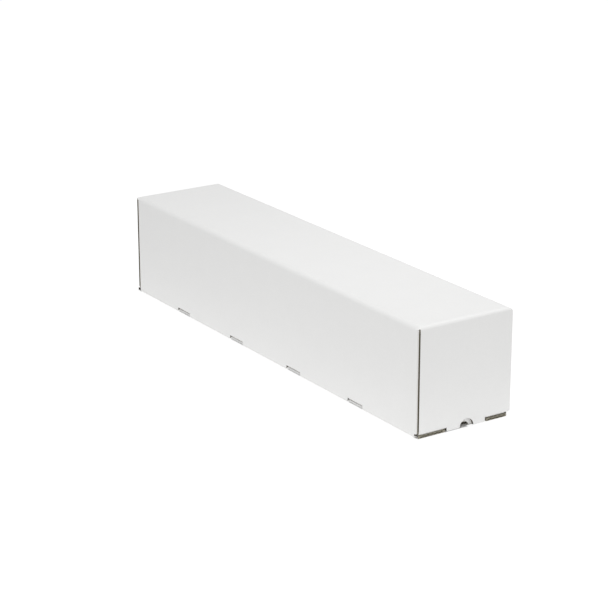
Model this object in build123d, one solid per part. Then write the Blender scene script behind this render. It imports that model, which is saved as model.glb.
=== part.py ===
from build123d import *
import math
import os

# A square mailing tube, die-cut and folded from one sheet of corrugated board, closed and lying on its
# bottom panel. X runs across the tube, Y along it and Z up, in millimetres. The origin is on the floor
# under the middle of the tube, and the front end faces -Y.

# Room inside
inner_width = 127.0
inner_height = 127.0
inner_length = 635.0

# Board and folds
board = 3.2
long_fold_radius = 6.0
end_fold_radius = 4.0
tuck_fold_radius = 3.0
crease_radius = 1.0

# Inside of the board, which shows at its cut edges: two liners with a waved layer, the flutes, between
# them. An edge cut across the flutes has a row of hollows, and one cut along them has a groove.
liner = 0.4
flute_pitch = 6.5
flute_wall = 0.4
flute_corner = 0.4
flute_hollow = 5.0
edge_groove = 2.0

# Play between faces that lie on or slide past each other
face_gap = 0.3
tuck_gap = 0.3
floor_gap = 0.3

# Hinge line of an end flap: how far it stands off the skin of the fold, and the slit under it
hinge_proud = 0.3
hinge_slit = 0.3

# Lock tab of an end flap, its cut-out in the bottom panel and the thumb notch. The lock tab is narrower than
# half the room inside by the lock trim, so a tongue has room beside it in a narrower tube too.
lock_trim = 8.0
lock_shift = 2.2
lock_corner = 1.5
lock_left_gap = 2.2
lock_right_gap = 2.2
lock_depth_gap = 3.9
thumb_radius = 10.0
thumb_shift = 3.2

# End flap: how far its raw side edges stand back from the side panels, and how much higher the fold at its
# foot sits to the right of the lock tab than to the left
flap_left_inset = 1.7
flap_right_inset = 0.1
foot_rise = 0.9

# Tuck tongues of an end flap
tongue_depth = 24.0
tongue_side = 6.5
tongue_slit = 3.5
tongue_taper = 4.0
tongue_corner = 5.0
tongue_swing_gap = 0.6

# Dust flaps
dust_meet_gap = 0.5
dust_taper = 3.0
dust_corner = 7.0
dust_left_level = 5.4
dust_right_level = 0.5
dust_scoop_radius = 5.0
dust_floor_gap = 0.8
dust_slide_gap = 1.0
dust_slot = 1.3

# Front edge of the bottom panel between the corners
strip_left_inset = 0.4
strip_right_inset = 5.3

# Long seam along the lower left edge
seam_tab_count = 5
seam_tab_length = 103.0
seam_tab_start = 6.5
seam_tab_corner = 3.5
seam_end_gap = 1.5
seam_side_gap = 0.5
seam_tongue_width = 32.0
seam_tongue_start = 38.0
seam_corner_rise = 2.6

# Overlap that makes cuts run clean through
through = 1.0

outer_width = inner_width + 2 * board
outer_height = inner_height + 2 * board
outer_length = inner_length + 4 * board + 2 * face_gap
side = outer_width / 2
end = outer_length / 2
dust_face = end - board - face_gap
tuck_level = board + tuck_gap

hinge_inset = end_fold_radius * (1 - math.sqrt(0.5)) - hinge_proud * math.sqrt(0.5)
hinge_y = end - hinge_inset
hinge_z = outer_height - hinge_inset

lock_width = inner_width / 2 - lock_trim
lock_left = lock_shift - lock_width / 2
lock_right = lock_shift + lock_width / 2


def slab(x0, x1, y0, y1, z0, z1):
    """A block between two corners."""
    return Pos((x0 + x1) / 2, (y0 + y1) / 2, (z0 + z1) / 2) * Box(x1 - x0, y1 - y0, z1 - z0)


def along(face, y0, y1):
    """An outline in X and Z, carried along the tube from y0 to y1."""
    return Pos(0, y1, 0) * extrude(Plane.XZ * face, y1 - y0)


def across(face, x0, x1):
    """An outline in Y and Z, carried across the tube from x0 to x1."""
    return Pos(x0, 0, 0) * extrude(Plane.YZ * face, x1 - x0)


def outline(points):
    return make_face(Polyline(*points, close=True))


def both_ends(*shapes):
    """Shapes at the front end together with their mirror images at the rear end, as a list."""
    return list(shapes) + [mirror(shape, about=Plane.XZ) for shape in shapes]


def nearest(items, x, y, z):
    """The edge or corner whose middle is nearest to a point."""
    return items.sort_by(lambda item: (item.center() - Vector(x, y, z)).length)[0]


def panel_section(rounded_bottom):
    """Outer section of the four long panels. The lower left corner is the seam and stays square."""
    face = Pos(0, outer_height / 2) * Rectangle(outer_width, outer_height)
    corners = [v for v in face.vertices() if v.Y > outer_height / 2 or (rounded_bottom and v.X > 0)]
    return fillet(corners, long_fold_radius)


def inner_space():
    """The hollow between the panels and the dust flaps, with its creased corners."""
    half_width, half_length = inner_width / 2, inner_length / 2
    room = slab(-half_width, half_width, -half_length, half_length, board, board + inner_height)
    seam_corner = nearest(room.edges(), -half_width, 0, board)
    creases = [e for e in room.edges().filter_by(Axis.X, reverse=True) if e != seam_corner]
    return fillet(creases, crease_radius)


def tongue_lift():
    """Rise of a tuck tongue, as an angle, at which its tip clears the bottom panel as the flap swings."""
    tip_run = tongue_depth + board - hinge_inset
    swing_radius = hinge_z - board - tongue_swing_gap
    tip_level = hinge_z - math.sqrt(swing_radius**2 - tip_run**2)
    return math.atan((tip_level - tuck_level) / tongue_depth)


def feet():
    """The two stretches of the end panel's foot that have a tuck tongue, each with the level of its fold."""
    left = (-side + tongue_side, lock_left - tongue_slit)
    right = (lock_right + tongue_slit, side - tongue_side)
    return [(left, tuck_level), (right, tuck_level + foot_rise)]


def dust_flap_outline(x_sign):
    """Front view of one dust flap, from its fold on the side panel to its free edge. The left one ends above
    the bottom panel. The right one's foot stands in the lock tab's cut-out, with a scoop behind the notch."""
    span, foot_fold = feet()[0 if x_sign < 0 else 1]
    foot = dust_left_level if x_sign < 0 else dust_right_level
    notch_end = max(abs(x_sign * side - x) for x in span) + dust_slide_gap
    notch_start = tongue_side - dust_slide_gap
    lift = tongue_lift()
    notch_top = foot_fold + (face_gap + board) * math.tan(lift) + board / math.cos(lift) + dust_slide_gap
    low = board + dust_floor_gap
    top = outer_height - board
    high = top - dust_slot
    reach = side - x_sign * lock_shift - dust_meet_gap / 2
    points = [
        (0, low), (notch_start, low), (notch_start, notch_top), (notch_end, notch_top),
        (notch_end + notch_top - foot, foot), (reach, foot), (reach - dust_taper, high - dust_taper),
        (board, high), (board, top), (0, top),
    ]
    face = outline([(x_sign * (side - u), z) for u, z in points])
    free_top = nearest(face.vertices(), x_sign * (side - reach + dust_taper), high - dust_taper, 0)
    return fillet([free_top], dust_corner) - Pos(thumb_shift, 0) * Circle(dust_scoop_radius)


def end_windows_front():
    """What is cut out of the front end wall so that only the dust flaps stay."""
    y0, y1 = -dust_face - through, -dust_face + board
    wall = slab(-side - through, side + through, y0, y1, board, outer_height - board)
    for x_sign in (-1, 1):
        wall = wall - along(dust_flap_outline(x_sign), y0 - through, y1 + through)
    return wall


def bent_end_plate(foot_fold):
    """Front rim of the top panel and end panel as one bent plate, with the rounded fold between them."""
    points = [
        (-end, foot_fold), (-end, outer_height), (-inner_length / 2, outer_height),
        (-inner_length / 2, outer_height - board), (-end + board, outer_height - board),
        (-end + board, foot_fold),
    ]
    plate = across(outline(points), -side, side)
    plate = fillet([nearest(plate.edges(), 0, -end, outer_height)], end_fold_radius)
    plate = fillet([nearest(plate.edges(), 0, -end + board, outer_height - board)], crease_radius)
    plate = fillet([nearest(plate.edges(), 0, -end, foot_fold)], tuck_fold_radius)
    return plate & along(panel_section(False), -end, -inner_length / 2)


def fold_side(direction):
    """Prism on one side of the sloping slit through the fold: 1 for the top panel, -1 for the flap."""
    reach = direction * outer_height
    shift = direction * hinge_slit * math.sqrt(0.5)
    y0, z0 = -hinge_y, hinge_z
    points = [(y0 - reach, z0 + reach + shift), (y0 + reach, z0 - reach + shift), (y0 + reach, z0 + reach)]
    return across(outline(points), -side - through, side + through)


def top_lip_front():
    """Front rim of the top panel, up to the slit along the hinge line."""
    lip = bent_end_plate(tuck_level) & fold_side(1)
    return lip & slab(-side, side, -end, -inner_length / 2, outer_height - board, outer_height)


def bottom_strip_front():
    """Raw front edge of the bottom panel, flush with the end panel's face."""
    return slab(-side, side - strip_right_inset, -end, -inner_length / 2, 0, board)


def flute_hollows(x0, x1):
    """Row of hollows in the raw front edge of the bottom panel, base up and base down by turns."""
    low, high = liner, board - liner
    half_pitch = flute_pitch / 2
    slope = (high - low - flute_wall) / half_pitch
    height = high - low - flute_wall / 2 - flute_wall / 2 * math.hypot(1, slope)
    half_base = height / slope
    tips_up = outline([(-half_base, low), (half_base, low), (0, low + height)])
    tips_up = fillet(tips_up.vertices(), flute_corner)
    tips_down = mirror(tips_up, about=Plane.XZ.offset(-board / 2))
    count = int((x1 - x0) / half_pitch) - 1
    first = (x0 + x1 - (count - 1) * half_pitch) / 2
    faces = [Pos(first + i * half_pitch, 0) * (tips_down if i % 2 else tips_up) for i in range(count)]
    return [along(face, -end - through, -end + flute_hollow) for face in faces]


def lock_cutout_front():
    """Cut-out in the bottom panel that takes the lock tab and the foot of the right dust flap."""
    cut = slab(
        lock_left - lock_left_gap, lock_right + lock_right_gap,
        -end - through, -end + board + lock_depth_gap, -through, board + through,
    )
    inner_corners = cut.edges().filter_by(Axis.Z).sort_by(Axis.Y)[-2:]
    foot = along(dust_flap_outline(1), -dust_face, -dust_face + board)
    return fillet(inner_corners, lock_corner) - foot


def strip_hollows_front():
    """Hollows of the flutes in both stretches of the bottom panel's raw front edge."""
    left = flute_hollows(-side + strip_left_inset + liner, lock_left - lock_left_gap)
    return left + flute_hollows(lock_right + lock_right_gap, side - strip_right_inset)


def seam_tab_spans():
    """Start and end of each lock tab along the seam, evenly spread between the two ends."""
    first = -end + seam_tab_start
    pitch = (outer_length - 2 * seam_tab_start - seam_tab_length) / (seam_tab_count - 1)
    return [(first + i * pitch, first + i * pitch + seam_tab_length) for i in range(seam_tab_count)]


def seam_slit():
    """The thin gap between the bottom panel and the side panel's tucked edge, over the whole length."""
    return slab(-side - through, -side + board + crease_radius, -end, end, board, tuck_level)


def seam_tongue():
    """Tuck tongue folded in from the side panel's lower edge, lying on the bottom panel inside."""
    reach = end - seam_tongue_start
    tongue = slab(-side, -side + board + seam_tongue_width, -reach, reach, tuck_level, tuck_level + board)
    tip_corners = tongue.edges().filter_by(Axis.Z).sort_by(Axis.X)[-2:]
    return fillet(tip_corners, board)


def seam_fold_rounding(y0, y1):
    """What the rounded fold under the side panel takes off its square corner."""
    x, z = -side + tuck_fold_radius, tuck_level + tuck_fold_radius
    corner = slab(-side - through, x, y0, y1, tuck_level, z)
    return corner - Pos(x, (y0 + y1) / 2, z) * Rot(90, 0, 0) * Cylinder(tuck_fold_radius, y1 - y0)


def seam_tab(y0, y1):
    """Lock tab: the side panel carries on down to the floor, with rounded lower corners."""
    tab = slab(-side, -side + board, y0, y1, floor_gap, tuck_level + tuck_fold_radius)
    low_corners = tab.edges().filter_by(Axis.X).group_by(Axis.Z)[0]
    return fillet(low_corners, seam_tab_corner)


def seam_tab_room(y0, y1):
    """Cut-out in the bottom panel for one lock tab, and the slit that frees the tab from the tongue."""
    x0, x1 = -side + board, -side + board + seam_side_gap
    room = slab(-side - through, x1, y0 - seam_end_gap, y1 + seam_end_gap, -through, tuck_level)
    return room + slab(x0, x1, y0, y1, board, tuck_level + board + crease_radius)


def seam_groove(y0, y1):
    """Groove between the liners in the bottom panel's raw side edge, where no tab covers it."""
    return slab(-side - through, -side + edge_groove, y0, y1, liner, board - liner)


def corner_relief_front():
    """Wedge cut off the side panel's lower front corner, between the dust flap and the first lock tab."""
    points = [
        (-end - through, board), (-end + seam_tab_start, board),
        (-end + seam_tab_start, tuck_level), (-end - through, tuck_level + seam_corner_rise),
    ]
    return across(outline(points), -side - through, -side + board + crease_radius)


def corner_cut_front():
    """What is cut off the bottom panel's front left corner, from its front edge to the first lock tab's room."""
    x0, x1 = -side + strip_left_inset, -side + board + seam_side_gap
    y1 = -end + seam_tab_start - seam_end_gap
    plan = outline([
        (x0, -end - through), (x0, -end), (x1, y1), (x1, y1 + through), (-side - through, y1 + through),
        (-side - through, -end - through),
    ])
    return Pos(0, 0, -through) * extrude(plan, through + tuck_level)


def tube_body():
    """Four long panels, the long seam, the dust flaps and the rims at both ends: one folded sheet."""
    plan = Rectangle(outer_width, 2 * dust_face)
    plan = fillet(plan.vertices(), end_fold_radius)
    shell = along(panel_section(True), -dust_face, dust_face) & extrude(plan, outer_height)
    shell = shell - inner_space() - both_ends(end_windows_front())
    shell = shell + both_ends(top_lip_front()) + both_ends(bottom_strip_front())
    shell = shell - both_ends(lock_cutout_front())
    shell = shell - both_ends(*strip_hollows_front())
    shell = shell + seam_tongue()
    shell = shell - seam_slit() - both_ends(corner_relief_front(), corner_cut_front())
    tabs = seam_tab_spans()
    shell = shell - seam_fold_rounding(tabs[0][0], tabs[-1][1])
    for (_, y0), (y1, _) in zip(tabs, tabs[1:]):
        shell = shell - seam_groove(y0, y1)
    for y0, y1 in tabs:
        shell = shell - seam_tab_room(y0, y1) + seam_tab(y0, y1)
    return shell


def end_panel():
    """End panel with the lower part of the fold that it hangs from, down to where the tongues turn in."""
    x0, x1 = -side + flap_left_inset, side - flap_right_inset
    (_, left_fold), (_, right_fold) = feet()
    left = bent_end_plate(left_fold) & slab(x0, lock_shift, -end, -end + board, left_fold, outer_height)
    right = bent_end_plate(right_fold) & slab(lock_shift, x1, -end, -end + board, right_fold, outer_height)
    y0, y1 = -end + liner, -end + board - liner
    z0, z1 = right_fold + board, outer_height - long_fold_radius
    left_groove = slab(x0 - through, x0 + edge_groove, y0, y1, z0, z1)
    right_groove = slab(x1 - edge_groove, x1 + through, y0, y1, z0, z1)
    return ((left + right) & fold_side(-1)) - left_groove - right_groove


def tuck_tongue(x0, x1, foot_fold):
    """Tongue that turns in at the foot of the end panel and rises a little towards its tip."""
    root = board / 2
    tip = tongue_depth
    plan = outline([
        (x0, -root), (x1, -root), (x1, 0), (x1 - tongue_taper, tip), (x0 + tongue_taper, tip), (x0, 0),
    ])
    tongue = extrude(fillet(plan.vertices().sort_by(Axis.Y)[-2:], tongue_corner), board)
    tongue = Pos(0, -end + board, foot_fold) * Rot(math.degrees(tongue_lift()), 0, 0) * tongue
    return tongue - slab(x0 - through, x1 + through, -end, -end + board, 0, foot_fold)


def lock_tab():
    """Middle of the end panel's foot, which carries on down through the bottom panel's cut-out."""
    root = tuck_level + foot_rise + tuck_fold_radius
    tab = slab(lock_left, lock_right, -end, -end + board, floor_gap, root)
    low_corners = tab.edges().filter_by(Axis.Y).group_by(Axis.Z)[0]
    return fillet(low_corners, lock_corner)


def thumb_notch():
    """Half-round notch for a thumb, centred on the floor line."""
    return Pos(thumb_shift, -end + board / 2, 0) * Rot(90, 0, 0) * Cylinder(thumb_radius, 2 * board)


def front_end_flap():
    flap = end_panel()
    for (x0, x1), foot_fold in feet():
        flap = flap + tuck_tongue(x0, x1, foot_fold)
    return flap + lock_tab() - thumb_notch()


def save(name, shape):
    os.makedirs("parts", exist_ok=True)
    solids = shape.solids()
    export_step(solids[0] if len(solids) == 1 else Compound(children=list(solids)), f"parts/{name}.step")
    print(name, len(solids), "solid", round(sum(s.volume for s in solids)), "mm3")


flap = front_end_flap()
save("tube_body", tube_body())
save("front_end_flap", flap)
save("rear_end_flap", mirror(flap, about=Plane.XZ))
print("hinge line at y", round(hinge_y, 4), "z", round(hinge_z, 4), "half length", round(end, 4))
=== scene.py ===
"""Looks of the square mailing tube: corrugated board, white outside and brown inside, on a white floor."""

import math

import bpy
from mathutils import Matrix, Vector


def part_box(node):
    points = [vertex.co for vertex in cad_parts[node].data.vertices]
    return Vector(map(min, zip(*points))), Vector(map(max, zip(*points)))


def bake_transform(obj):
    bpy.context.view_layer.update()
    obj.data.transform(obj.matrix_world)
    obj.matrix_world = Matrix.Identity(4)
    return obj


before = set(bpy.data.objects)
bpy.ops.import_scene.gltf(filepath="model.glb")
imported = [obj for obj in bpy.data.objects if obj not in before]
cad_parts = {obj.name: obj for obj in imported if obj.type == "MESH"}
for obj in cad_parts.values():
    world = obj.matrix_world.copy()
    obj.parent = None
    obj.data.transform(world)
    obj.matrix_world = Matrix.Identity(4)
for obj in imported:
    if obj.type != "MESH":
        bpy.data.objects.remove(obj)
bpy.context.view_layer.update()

# The board, its folds and its cut-outs, in metres, as the part has them
BOARD = 0.0032
LINER = 0.0004
FLUTE_PITCH = 0.0065
FLUTE_WALL = 0.0004
LONG_FOLD = 0.006
END_FOLD = 0.004
TUCK_FOLD = 0.003
FACE_GAP = 0.0003
TUCK_LEVEL = 0.0035
FOOT_RISE = 0.0009
TONGUE_RISE = math.radians(7.13)
LOCK_MIDDLE = 0.0022
LOCK_WIDTH = 0.0555
LOCK_SIDE_GAP = 0.0022
LOCK_DEPTH_GAP = 0.0039
SEAM_TABS = 5
SEAM_TAB_LENGTH = 0.103
SEAM_TAB_START = 0.0065
SEAM_TONGUE_REACH = 0.0352
SEAM_GROOVE = 0.002
HINGE_SLIT = 0.0003
HINGE_PROUD = 0.0003
HINGE_Y, HINGE_Z = 0.3232406, 0.1324406

SIDE, END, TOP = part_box("tube_body")[1]
DUST_FACE = END - BOARD - FACE_GAP
SEAM_PITCH = (2 * END - 2 * SEAM_TAB_START - SEAM_TAB_LENGTH) / (SEAM_TABS - 1)

# The creases: how deep their blocks reach, how far they lap over the slit, their divisions, and the name
# under which a crease's mesh keeps its points' places at rest
CREASE_DEPTH = 0.00287
CREASE_LAP = 0.00004
CREASE_STEPS = 24
CREASE_LAYERS = 4
REST_PLACE = "rest_place"

# Material nodes count in millimetres, and so do these: how far past a limit a point still counts as on it,
# how near a skin it counts as on the skin, and how far the painted shade of the seam's end holes reaches
MILLIMETRES = 1000.0
SLACK = 0.1
SKIN = 0.12
HOLE_SIDE_SLACK = 0.6
HOLE_TOP_SLACK = 0.5

# The drawn cut edges: the band of the flaps' side edges, and half the wave's thickness, as a share of
# its wall
EDGE_BAND = 0.003
WAVE_SHARE = 0.75

# Colours, as linear light
WHITE_LINER = (0.83, 0.83, 0.825)
KRAFT_LINER = (0.37, 0.285, 0.18)
FLUTE_EDGE = (0.17, 0.155, 0.12)
LINER_EDGE = (0.23, 0.215, 0.175)
RIM = (0.30, 0.28, 0.225)
# Painted shade for the flutes' hollows
HOLLOW_SHADE = (0.025, 0.021, 0.017)
# Brown of the rear flap's side edges, darkened as painted shade of the gap beside them
REAR_CUT_BROWN_AND_SHADE = (0.062, 0.036, 0.01)
REAR_CUT_SHARE = 0.5
FLOOR_WHITE = (0.92, 0.92, 0.92)
PLAIN_WHITE = (1.0, 1.0, 1.0)

# Grains of the board's noises, as grains per millimetre along x, y and z
CLOUD = (0.03, 0.03, 0.03)
MOTTLE = (0.35, 0.35, 0.35)
FIBRE = (3.0, 0.9, 3.0)
STREAK = (1.6, 0.05, 1.6)
FLOOR_GRAIN = (0.2, 0.2, 1.0)

# How far each noise changes a colour, as a share of it
CLOUD_ON_WHITE, MOTTLE_ON_WHITE, FIBRE_ON_WHITE = 0.02, 0.03, 0.03
MOTTLE_ON_KRAFT, FIBRE_ON_KRAFT, STREAK_ON_KRAFT = 0.25, 0.5, 0.35
FIBRE_ON_EDGE = 0.8

# A painted highlight: a paler ridge on the top panel where the board bends over to the end, in place of the
# light that the fold catches
RIDGE_INSET = 0.0025
RIDGE_WIDTH = 0.0045
RIDGE_DEPTH = 0.003
RIDGE_HIGHLIGHT_GAIN = 0.07

# Sheen and relief of the board, relief in millimetres
WHITE_ROUGHNESS, BARE_ROUGHNESS = 0.55, 0.85
SPECULAR = 0.25
FIBRE_RELIEF_WHITE, FIBRE_RELIEF_BARE = 0.02, 0.05
MOTTLE_RELIEF = 0.03
FLUTE_RELIEF = 0.004

# The photograph's view: azimuth 0 looks along +Y, and a positive one turns towards -X. The frame is square
CAMERA_PLACE = (-1.36409, -2.05125, 0.8914)
CAMERA_AZIMUTH = math.radians(-33.4959)
CAMERA_DOWN = math.radians(18.6898)
FOCAL_PIXELS = 2052.82
FRAME_PIXELS = 608
SENSOR = 36.0
CLIP_START, CLIP_END = 0.05, 60.0

# The light: places are counted from the middle of the front end
DOME_STRENGTH = 0.725
LAMP_SIZE = 0.6
KEY_PLACE = (-1.38, -1.24, 0.75)
KEY_TARGET = (0.0, 0.0, 0.0)
KEY_POWER = 4.4
KEY_COLOUR = (1.0, 0.99, 0.97)
TOP_PLACE = (0.0, 0.1, 1.0)
TOP_TARGET = (0.0, 0.1, 0.0)
TOP_POWER = 2.6

# The white floor. It glows where it is seen, beside the tube and a little way under its edges
FLOOR_HALF = 12.0
FLOOR_LEVEL = -0.0002
FLOOR_SHADE, FLOOR_GRAIN_SHARE = 0.99, 0.02
FLOOR_GLOW = 0.6
FLOOR_WHITENESS = 1.25
FLOOR_UNDERLAP = 0.0035
FLOOR_UNDERLAP_START = 0.008
FOOT_START = 0.0055
CORNER_CUT_WIDTH = 0.0033
CORNER_CUT_LENGTH = 0.005
BOUNCE = 0.3
BOUNCE_REACH = 0.15


def mm(metres):
    return metres * MILLIMETRES


class Graph:
    """A material's node tree, with arithmetic on its sockets. Lengths in it are in millimetres."""

    def __init__(self, tree):
        self.tree = tree
        tree.nodes.clear()

    def node(self, kind, **settings):
        node = self.tree.nodes.new(kind)
        for name, value in settings.items():
            setattr(node, name, value)
        return node

    def feed(self, socket, value):
        if isinstance(value, bpy.types.NodeSocket):
            self.tree.links.new(value, socket)
        else:
            socket.default_value = value

    def math(self, operation, *values):
        node = self.node("ShaderNodeMath", operation=operation)
        for socket, value in zip(node.inputs, values):
            self.feed(socket, value)
        return node.outputs[0]

    def add(self, *values):
        total = values[0]
        for value in values[1:]:
            total = self.math("ADD", total, value)
        return total

    def times(self, *values):
        product = values[0]
        for value in values[1:]:
            product = self.math("MULTIPLY", product, value)
        return product

    def minus(self, a, b):
        return self.math("SUBTRACT", a, b)

    def least(self, a, b):
        return self.math("MINIMUM", a, b)

    def most(self, a, b):
        return self.math("MAXIMUM", a, b)

    def above(self, a, b):
        return self.math("GREATER_THAN", a, b)

    def below(self, a, b):
        return self.math("LESS_THAN", a, b)

    def unless(self, condition):
        """1 where the condition is 0, and 0 where it is 1."""
        return self.minus(1.0, condition)

    def size(self, a):
        return self.math("ABSOLUTE", a)

    def length(self, a, b):
        return self.math("SQRT", self.add(self.times(a, a), self.times(b, b)))

    def choose(self, condition, a, b):
        """a where the condition is 1, b where it is 0."""
        node = self.node("ShaderNodeMix", data_type="FLOAT")
        for socket, value in zip((node.inputs[0], node.inputs[2], node.inputs[3]), (condition, b, a)):
            self.feed(socket, value)
        return node.outputs[0]

    def tint(self, factor, a, b):
        """Colour b where the factor is 1, a where it is 0."""
        node = self.node("ShaderNodeMix", data_type="RGBA")
        for socket, value in zip((node.inputs[0], node.inputs[6], node.inputs[7]), (factor, a, b)):
            self.feed(socket, (*value, 1.0) if isinstance(value, tuple) else value)
        return node.outputs[2]

    def scaled(self, colour, factor):
        """The colour times the factor."""
        node = self.node("ShaderNodeVectorMath", operation="SCALE")
        self.feed(node.inputs[0], colour)
        self.feed(node.inputs["Scale"], factor)
        return node.outputs[0]

    def place(self, bends):
        """The point's own place on its piece at rest, as x, y and z in millimetres. A piece that bends
        across a joint keeps it in its mesh, because its points move."""
        if bends:
            place = self.node("ShaderNodeAttribute", attribute_name=REST_PLACE).outputs["Vector"]
        else:
            place = self.node("ShaderNodeTexCoord").outputs["Object"]
        split = self.node("ShaderNodeSeparateXYZ")
        self.feed(split.inputs[0], place)
        return [self.times(axis, MILLIMETRES) for axis in split.outputs]

    def noise(self, place, grains, detail=3.0, roughness=0.55):
        """Noise from 0 to 1 with so many grains per millimetre along x, y and z."""
        joined = self.node("ShaderNodeCombineXYZ")
        for socket, axis, count in zip(joined.inputs, place, grains):
            self.feed(socket, self.times(axis, count))
        node = self.node("ShaderNodeTexNoise")
        node.inputs["Scale"].default_value = 1.0
        node.inputs["Detail"].default_value = detail
        node.inputs["Roughness"].default_value = roughness
        self.feed(node.inputs["Vector"], joined.outputs[0])
        return node.outputs["Fac"]

    def sway(self, noise, amount):
        """The noise, from minus half the amount to plus half of it."""
        return self.times(self.minus(noise, 0.5), amount)

    def finish(self, shader, output_kind="ShaderNodeOutputMaterial"):
        self.feed(self.node(output_kind).inputs["Surface"], shader)


def new_graph(owner):
    """The emptied node tree of a new material or world."""
    owner.use_nodes = True
    return Graph(owner.node_tree)


def rounded_depth(g, u, v, half_u, half_v, radius):
    """Depth below the skin of a rectangle with rounded corners; u and v count from its middle."""
    out_u = g.minus(g.size(u), mm(half_u - radius))
    out_v = g.minus(g.size(v), mm(half_v - radius))
    outside = g.length(g.most(out_u, 0.0), g.most(out_v, 0.0))
    inside = g.least(g.most(out_u, out_v), 0.0)
    return g.minus(mm(radius), g.add(outside, inside))


def corner_depth(g, out_u, out_v, radius):
    """Depth below the skin of one fold; out_u and out_v count outwards from the fold's centre line."""
    return g.minus(mm(radius), g.length(g.most(out_u, 0.0), g.most(out_v, 0.0)))


def section_depth(g, x, z):
    """Depth below the skin of the tube's square section."""
    return rounded_depth(g, x, g.minus(z, mm(TOP / 2)), SIDE, TOP / 2, LONG_FOLD)


def lip_depth(g, y, z):
    """Depth below the skin of the fold between the top panel and an end flap."""
    along = g.size(y)
    return corner_depth(g, g.minus(along, mm(END - END_FOLD)), g.minus(z, mm(TOP - END_FOLD)), END_FOLD)


def seam_depth(g, x, y, z, plan, above_bottom):
    """Depth of the board along the long seam, at the lower edge of the -X side."""
    near_end = g.above(g.size(y), mm(END - SEAM_TAB_START) + SLACK / 2)
    from_start = g.math("FLOORED_MODULO", g.add(y, mm(END - SEAM_TAB_START)), mm(SEAM_PITCH))
    in_tab = g.times(g.below(from_start, mm(SEAM_TAB_LENGTH)), g.unless(near_end))
    fold = corner_depth(
        g, g.minus(-mm(SIDE - TUCK_FOLD), x), g.minus(mm(TUCK_LEVEL + TUCK_FOLD), z), TUCK_FOLD,
    )
    straight = g.add(x, mm(SIDE))
    side = g.choose(near_end, g.least(straight, plan), g.choose(in_tab, straight, fold))
    on_tab = g.times(in_tab, g.below(x, -mm(SIDE - BOARD) + SLACK / 10))
    # The bottom panel's cut edge between the tabs looks white, as the photograph shows it
    in_groove = g.below(x, -mm(SIDE - SEAM_GROOVE) + SLACK)
    lined_edge = g.times(g.unless(in_tab), g.unless(near_end), in_groove)
    return g.choose(g.most(above_bottom, on_tab), side, g.times(z, g.unless(lined_edge)))


def tube_depth(g, x, y, z):
    """How deep a point of the tube's body lies in the board, from the white skin at 0 to the brown one."""
    along = g.size(y)
    plan = rounded_depth(g, x, y, SIDE, DUST_FACE, END_FOLD)
    above_bottom = g.above(z, mm(TUCK_LEVEL) - 2 * SLACK)
    under_top = g.below(z, mm(TOP - BOARD) - SLACK)
    behind_dust = g.above(along, mm(DUST_FACE - BOARD) - SLACK)
    depth = section_depth(g, x, z)
    depth = g.choose(g.times(above_bottom, under_top, behind_dust), g.least(depth, plan), depth)
    depth = g.choose(under_top, depth, g.least(depth, lip_depth(g, y, z)))

    bottom = g.below(z, mm(BOARD) + SLACK / 2)
    depth = g.choose(bottom, g.least(depth, z), depth)
    depth = g.choose(g.times(bottom, g.above(along, mm(DUST_FACE) + SLACK)), z, depth)

    at_seam = g.times(g.below(x, -mm(SIDE - BOARD) + SLACK), g.below(z, mm(TUCK_LEVEL + 2 * BOARD)))
    depth = g.choose(at_seam, seam_depth(g, x, y, z, plan, above_bottom), depth)
    tongue = g.times(
        above_bottom, g.below(z, mm(TUCK_LEVEL + BOARD) + SLACK),
        g.above(x, -mm(SIDE - BOARD) + SLACK), g.below(x, -mm(SIDE - SEAM_TONGUE_REACH) + SLACK),
        g.below(along, mm(DUST_FACE - BOARD) - SLACK),
    )
    depth = g.choose(tongue, g.minus(z, mm(TUCK_LEVEL)), depth)

    at_lock = g.below(g.size(g.minus(x, mm(LOCK_MIDDLE))), mm(LOCK_WIDTH / 2 + LOCK_SIDE_GAP) - SLACK)
    foot = g.times(
        at_lock, g.below(z, mm(TUCK_LEVEL)), g.below(along, mm(DUST_FACE) + SLACK),
        g.above(along, mm(END - BOARD - LOCK_DEPTH_GAP) + SLACK),
    )
    return g.choose(foot, plan, depth)


def flap_depth(g, x, y, z):
    """How deep a point of an end flap lies in the board, from the white skin at 0 to the brown one."""
    along = g.size(y)
    flat = g.minus(mm(END), along)
    from_lock = g.minus(x, mm(LOCK_MIDDLE))
    fold_level = g.choose(g.above(x, mm(LOCK_MIDDLE)), mm(TUCK_LEVEL + FOOT_RISE), mm(TUCK_LEVEL))
    below_bend = g.minus(g.add(fold_level, mm(TUCK_FOLD)), z)
    foot = corner_depth(g, g.minus(along, mm(END - TUCK_FOLD)), below_bend, TUCK_FOLD)
    in_lock = g.below(g.size(from_lock), mm(LOCK_WIDTH / 2) + SLACK)
    depth = g.choose(g.times(g.above(below_bend, 0.0), g.unless(in_lock)), foot, flat)
    depth = g.choose(g.above(z, mm(TOP - END_FOLD)), lip_depth(g, y, z), depth)
    depth = g.choose(g.above(z, mm(TOP - LONG_FOLD)), g.least(depth, section_depth(g, x, z)), depth)
    rise = g.times(g.minus(mm(END - BOARD), along), math.tan(TONGUE_RISE))
    tongue = g.times(g.minus(g.minus(z, fold_level), rise), math.cos(TONGUE_RISE))
    return g.choose(g.below(along, mm(END - BOARD) - SLACK / 2), tongue, depth)


def crease_depth(g, x, y, z):
    """How deep a point of a crease's block lies in the board; its inner end counts as the brown skin."""
    return g.least(g.times(lip_depth(g, y, z), BOARD / CREASE_DEPTH), section_depth(g, x, z))


def tube_across(g, x, y, z):
    """Place across the flutes of the tube's body. They run along the tube, and across it in dust flaps."""
    lying = g.most(g.below(z, mm(TUCK_LEVEL + BOARD) + SLACK), g.above(z, mm(TOP - BOARD) - SLACK))
    return g.choose(lying, x, z)


def flap_across(g, x, y, z):
    """Place across the flutes of an end flap, which run up it."""
    return x


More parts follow.
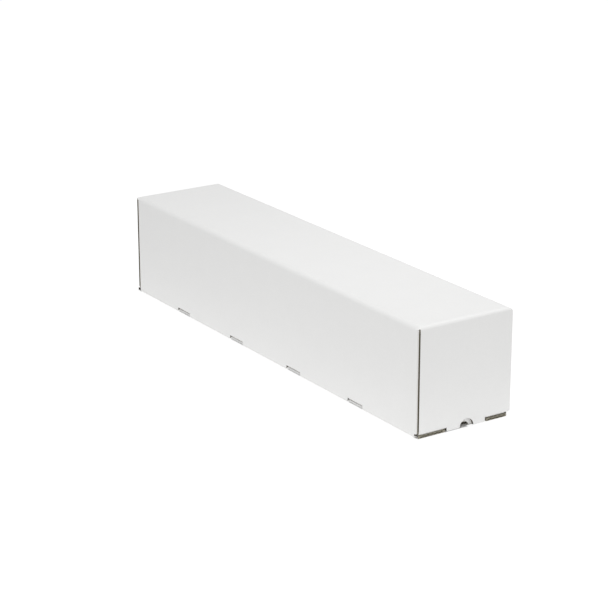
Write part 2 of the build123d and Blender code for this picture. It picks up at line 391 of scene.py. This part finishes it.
def tube_drawn(g, x, y, z):
    """1 where hollows are drawn. The bottom panel's ends have real ones, and its seam edge a real groove."""
    at_end = g.above(g.size(y), mm(DUST_FACE - BOARD) - SLACK)
    at_groove = g.below(x, -mm(SIDE - BOARD) + SLACK)
    return g.unless(g.times(g.most(at_end, at_groove), g.below(z, mm(BOARD) + SLACK)))


def flap_drawn(g, x, y, z):
    """1 where hollows are drawn. The side edges have real grooves."""
    return g.below(g.size(x), mm(SIDE) - mm(EDGE_BAND))


def tube_rim(g, y, z):
    """1 on the bottom panel's rims that stick out under the end panels."""
    return g.times(g.above(g.size(y), mm(DUST_FACE) + SLACK), g.below(z, mm(BOARD) + SLACK))


def no_rim(g, y, z):
    return 0.0


def corner_hole_shade(g, x, y, z):
    """Share and colour of the painted shade on cut edges: in the small hole at each end of the seam, where
    the cuts meet, they are painted as dark as a hollow, for the shade in the hole."""
    at_side = g.below(x, -mm(SIDE - BOARD) + HOLE_SIDE_SLACK)
    along = g.size(y)
    at_end = g.times(g.above(along, mm(END - SEAM_TAB_START) - SLACK), g.below(along, mm(END) - SLACK / 2))
    return g.times(at_side, at_end, g.below(z, mm(TUCK_LEVEL) + HOLE_TOP_SLACK)), HOLLOW_SHADE


def rear_edge_brown_and_shade(g, x, y, z):
    """The same for the rear flap: its side edges are browner, like the one that the photograph shows."""
    # The side edges are browner and darker: the brown is the cut edge's own, the darkening is painted shade
    # of the gap beside them
    at_side = g.above(g.size(x), mm(SIDE) - mm(EDGE_BAND))
    return g.times(g.above(y, 0.0), at_side, REAR_CUT_SHARE), REAR_CUT_BROWN_AND_SHADE


def raw_edge(g, depth, across, hollows_drawn):
    """Colour of a cut edge: liners, and between them the waved layer with hollows on both sides, which are
    painted dark as their shade. Where the part has real hollows, none are drawn."""
    middle = mm(BOARD) / 2
    turn = g.math("FRACT", g.times(across, 1 / mm(FLUTE_PITCH)))
    wave = g.minus(g.times(g.size(g.minus(turn, 0.5)), 4.0), 1.0)
    swing = mm(BOARD - 2 * LINER - FLUTE_WALL) / 2
    off_wave = g.size(g.minus(depth, g.add(middle, g.times(wave, swing))))
    off_liner = g.minus(middle - mm(LINER), g.size(g.minus(depth, middle)))
    solid = g.most(g.below(off_wave, WAVE_SHARE * mm(FLUTE_WALL)), g.below(off_liner, 0.0))
    solid = g.most(solid, g.unless(hollows_drawn))
    edge = g.tint(g.below(depth, mm(LINER)), FLUTE_EDGE, LINER_EDGE)
    # Painted shade: where the flutes leave hollows, the edge takes a near-black colour
    return g.tint(solid, HOLLOW_SHADE, edge)


def board_material(name, depth_of, across_of, drawn_of, rim_of, edge_tone_and_shade_of, bends=False):
    """White liner, brown liner and cut edge of the board, told apart by how deep a point lies in it."""
    material = bpy.data.materials.new(name)
    g = new_graph(material)
    place = g.place(bends)
    x, y, z = place
    depth = depth_of(g, x, y, z)
    across = across_of(g, x, y, z)
    white = g.below(depth, SKIN)
    brown = g.above(depth, mm(BOARD) - SKIN)

    cloud = g.noise(place, CLOUD, detail=2.0)
    mottle = g.noise(place, MOTTLE)
    fibre = g.noise(place, FIBRE, detail=4.0, roughness=0.65)
    streak = g.noise(place, STREAK)

    # Painted highlight: the white liner is made paler along the fold from the top panel to the end
    from_ridge = g.size(g.minus(g.size(y), mm(END - RIDGE_INSET)))
    ridge = g.most(g.unless(g.times(from_ridge, 1 / mm(RIDGE_WIDTH))), 0.0)
    ridge = g.times(ridge, g.above(z, mm(TOP - RIDGE_DEPTH)))
    white_tone_and_highlight = g.add(
        1.0, g.sway(cloud, CLOUD_ON_WHITE), g.sway(mottle, MOTTLE_ON_WHITE), g.sway(fibre, FIBRE_ON_WHITE),
        g.times(ridge, RIDGE_HIGHLIGHT_GAIN),
    )
    kraft_shade = g.add(
        1.0, g.sway(fibre, FIBRE_ON_KRAFT), g.sway(streak, STREAK_ON_KRAFT), g.sway(mottle, MOTTLE_ON_KRAFT),
    )
    raw = raw_edge(g, depth, across, drawn_of(g, x, y, z))
    colour = g.scaled(raw, g.add(1.0, g.sway(fibre, FIBRE_ON_EDGE)))
    colour = g.tint(white, colour, g.scaled(WHITE_LINER, white_tone_and_highlight))
    colour = g.tint(brown, colour, g.scaled(KRAFT_LINER, kraft_shade))
    colour = g.tint(g.times(rim_of(g, y, z), g.unless(white)), colour, g.scaled(RIM, kraft_shade))
    # Painted shade on cut edges in the seam's end holes, and the rear flap's browner, darker side edges
    edge_tone_and_shade_share, edge_tone_and_shade_colour = edge_tone_and_shade_of(g, x, y, z)
    colour = g.tint(g.times(edge_tone_and_shade_share, g.unless(white), g.unless(brown)), colour, edge_tone_and_shade_colour)

    flutes = g.math("SINE", g.times(across, 2 * math.pi / mm(FLUTE_PITCH)))
    bump = g.node("ShaderNodeBump")
    bump.inputs["Strength"].default_value = 1.0
    bump.inputs["Distance"].default_value = 1 / MILLIMETRES
    g.feed(bump.inputs["Height"], g.add(
        g.times(fibre, g.choose(white, FIBRE_RELIEF_WHITE, FIBRE_RELIEF_BARE)),
        g.times(mottle, MOTTLE_RELIEF), g.times(flutes, FLUTE_RELIEF),
    ))

    shader = g.node("ShaderNodeBsdfPrincipled")
    shader.inputs["Specular IOR Level"].default_value = SPECULAR
    g.feed(shader.inputs["Base Color"], colour)
    g.feed(shader.inputs["Roughness"], g.choose(white, WHITE_ROUGHNESS, BARE_ROUGHNESS))
    g.feed(shader.inputs["Normal"], bump.outputs[0])
    g.finish(shader.outputs[0])
    return material


def dress_cad_nodes():
    tube = board_material("tube_board_looks", tube_depth, tube_across, tube_drawn, tube_rim, corner_hole_shade)
    flap = board_material("flap_board_looks", flap_depth, flap_across, flap_drawn, no_rim, rear_edge_brown_and_shade)
    for node, material in (("tube_body", tube), ("front_end_flap", flap), ("rear_end_flap", flap)):
        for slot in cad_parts[node].material_slots:
            slot.link = "OBJECT"
            slot.material = material


def crease_half_width(z):
    """Half the width of the rounded section at a height near its top."""
    rise = min(max(z - (TOP - LONG_FOLD), 0.0), LONG_FOLD)
    return SIDE - LONG_FOLD + math.sqrt(LONG_FOLD ** 2 - rise ** 2)


def crease_shares():
    """Places across the slit, from 0 at the tube to 1 at the flap, that turn by equal steps as it opens."""
    return [0.5 - math.sin(math.asin(1 - 2 * i / CREASE_STEPS) / 3) for i in range(CREASE_STEPS + 1)]


def crease_faces():
    """Faces of a block of steps by layers, whose points come in pairs from side to side, layer by layer."""
    faces = []
    row = 2 * (CREASE_LAYERS + 1)
    for first in range(0, CREASE_STEPS * row, row):
        last = first + row - 2
        for a in range(first, last, 2):
            faces.append((a, a + row, a + row + 2, a + 2))
            faces.append((a + 1, a + 3, a + row + 3, a + row + 1))
        faces.append((first, first + 1, first + row + 1, first + row))
        faces.append((last, last + row, last + row + 1, last + 1))
    end = CREASE_STEPS * row
    for a in range(0, row - 2, 2):
        faces.append((a, a + 2, a + 3, a + 1))
        faces.append((end + a, end + a + 1, end + a + 3, end + a + 2))
    return faces


def crease_piece(name, direction, looks):
    """The bent board in one hinge's slit, as a block with its ends on the tube and on the flap. The
    direction is -1 for the front end and 1 for the rear end."""
    hinge = Vector((0.0, direction * HINGE_Y, HINGE_Z))
    inward = Vector((0.0, -direction, -1.0)).normalized()
    to_flap = Vector((0.0, direction, -1.0)).normalized()
    width = HINGE_SLIT + 2 * CREASE_LAP
    start = hinge + inward * HINGE_PROUD - to_flap * width / 2
    points = []
    for share in crease_shares():
        for layer in range(CREASE_LAYERS + 1):
            place = start + to_flap * width * share + inward * CREASE_DEPTH * layer / CREASE_LAYERS
            half = crease_half_width(place.z)
            points += [(-half, place.y, place.z), (half, place.y, place.z)]
    mesh = bpy.data.meshes.new(name)
    mesh.from_pydata(points, [], [face[::direction] for face in crease_faces()])
    mesh.update()
    kept = mesh.attributes.new(REST_PLACE, "FLOAT_VECTOR", "POINT")
    kept.data.foreach_set("vector", [value for point in points for value in point])
    mesh.materials.append(looks)
    piece = bpy.data.objects.new(name, mesh)
    bpy.context.scene.collection.objects.link(piece)
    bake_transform(piece)


def add_creases():
    looks = board_material(
        "crease_looks", crease_depth, flap_across, flap_drawn, no_rim, rear_edge_brown_and_shade, bends=True,
    )
    crease_piece("front_crease", -1, looks)
    crease_piece("rear_crease", 1, looks)


def seen_directly(g):
    """1 for what sees a thing straight, in gloss or through glass."""
    path = g.node("ShaderNodeLightPath")
    seen = g.most(path.outputs["Is Camera Ray"], path.outputs["Is Glossy Ray"])
    return g.most(seen, path.outputs["Is Transmission Ray"])


def glow(g, strength):
    shader = g.node("ShaderNodeEmission")
    shader.inputs["Color"].default_value = (*PLAIN_WHITE, 1.0)
    g.feed(shader.inputs["Strength"], strength)
    return shader.outputs[0]


def white_where_seen(g, lit, share, strength):
    """The lit shader with a share of plain white in it where it is seen directly."""
    mix = g.node("ShaderNodeMixShader")
    g.feed(mix.inputs[0], g.times(seen_directly(g), share))
    g.feed(mix.inputs[1], lit)
    g.feed(mix.inputs[2], glow(g, strength))
    return mix.outputs[0]


def floor_beside(g, x, y, out_x, out_y):
    """1 on the floor beside the tube and under its edges, where the photograph shows white: along the long
    sides, in a slanted cut at their ends, and at each end from the thumb notch towards +X."""
    # Under the tube's edges and at the end flap's foot this glow is painted light, laid over floor that lies
    # in the tube's shade
    from_end = g.minus(0.0, out_y)
    slant = CORNER_CUT_WIDTH / CORNER_CUT_LENGTH
    cut = g.times(from_end, g.below(from_end, mm(CORNER_CUT_LENGTH / 2)), slant)
    under_edge = g.choose(g.above(from_end, mm(FLOOR_UNDERLAP_START)), mm(FLOOR_UNDERLAP), cut)
    at_foot = g.times(g.above(x, mm(FOOT_START)), g.above(g.size(y), mm(DUST_FACE)))
    return g.most(g.above(g.most(g.add(out_x, under_edge), out_y), 0.0), at_foot)


def floor_material():
    """Matt white floor. Where it is seen it also glows, and near the tube it throws some light back up."""
    material = bpy.data.materials.new("floor_white")
    g = new_graph(material)
    place = g.place(bends=False)
    x, y, _ = place
    out_x = g.minus(g.size(x), mm(SIDE))
    out_y = g.minus(g.size(y), mm(END))
    beside = floor_beside(g, x, y, out_x, out_y)

    grain = g.noise(place, FLOOR_GRAIN, detail=2.0)
    lit = g.node("ShaderNodeBsdfDiffuse")
    shade = g.add(FLOOR_SHADE, g.times(grain, FLOOR_GRAIN_SHARE))
    g.feed(lit.inputs["Color"], g.scaled(FLOOR_WHITE, shade))
    near = g.unless(g.times(g.length(g.most(out_x, 0.0), g.most(out_y, 0.0)), 1 / mm(BOUNCE_REACH)))
    bounce = g.times(beside, g.most(near, 0.0), BOUNCE, g.unless(seen_directly(g)))
    both = g.node("ShaderNodeAddShader")
    g.feed(both.inputs[0], lit.outputs[0])
    g.feed(both.inputs[1], glow(g, bounce))
    g.finish(white_where_seen(g, both.outputs[0], g.times(beside, FLOOR_GLOW), FLOOR_WHITENESS))
    return material


def make_floor():
    corners = [(-FLOOR_HALF, -FLOOR_HALF, 0), (FLOOR_HALF, -FLOOR_HALF, 0),
               (FLOOR_HALF, FLOOR_HALF, 0), (-FLOOR_HALF, FLOOR_HALF, 0)]
    mesh = bpy.data.meshes.new("floor")
    mesh.from_pydata(corners, [], [(0, 1, 2, 3)])
    mesh.materials.append(floor_material())
    floor = bpy.data.objects.new("floor", mesh)
    floor.location.z = FLOOR_LEVEL
    bpy.context.scene.collection.objects.link(floor)


def make_world():
    world = bpy.data.worlds.new("studio")
    bpy.context.scene.world = world
    g = new_graph(world)
    dome = g.node("ShaderNodeBackground")
    dome.inputs["Color"].default_value = (*PLAIN_WHITE, 1.0)
    dome.inputs["Strength"].default_value = DOME_STRENGTH
    g.finish(white_where_seen(g, dome.outputs[0], 1.0, 1.0), "ShaderNodeOutputWorld")


def area_light(name, place, target, power, colour):
    """A round lamp; its place and target count from the middle of the front end."""
    data = bpy.data.lights.new(name, "AREA")
    data.shape = "DISK"
    data.size = LAMP_SIZE
    data.energy = power
    data.color = colour
    front = Vector((0.0, -END, TOP / 2))
    light = bpy.data.objects.new(name, data)
    light.location = front + Vector(place)
    light.rotation_euler = (Vector(target) - Vector(place)).to_track_quat("-Z", "Y").to_euler()
    bpy.context.scene.collection.objects.link(light)


def make_lights():
    area_light("key", KEY_PLACE, KEY_TARGET, KEY_POWER, KEY_COLOUR)
    area_light("top", TOP_PLACE, TOP_TARGET, TOP_POWER, PLAIN_WHITE)


def make_camera():
    data = bpy.data.cameras.new("camera")
    data.sensor_width = SENSOR
    data.lens = FOCAL_PIXELS / FRAME_PIXELS * SENSOR
    data.clip_start = CLIP_START
    data.clip_end = CLIP_END
    camera = bpy.data.objects.new("camera", data)
    camera.location = CAMERA_PLACE
    camera.rotation_euler = (math.pi / 2 - CAMERA_DOWN, 0.0, CAMERA_AZIMUTH)
    bpy.context.scene.collection.objects.link(camera)
    bpy.context.scene.camera = camera


dress_cad_nodes()
add_creases()
make_floor()
make_world()
make_lights()
make_camera()
bpy.context.scene.view_settings.view_transform = "Standard"
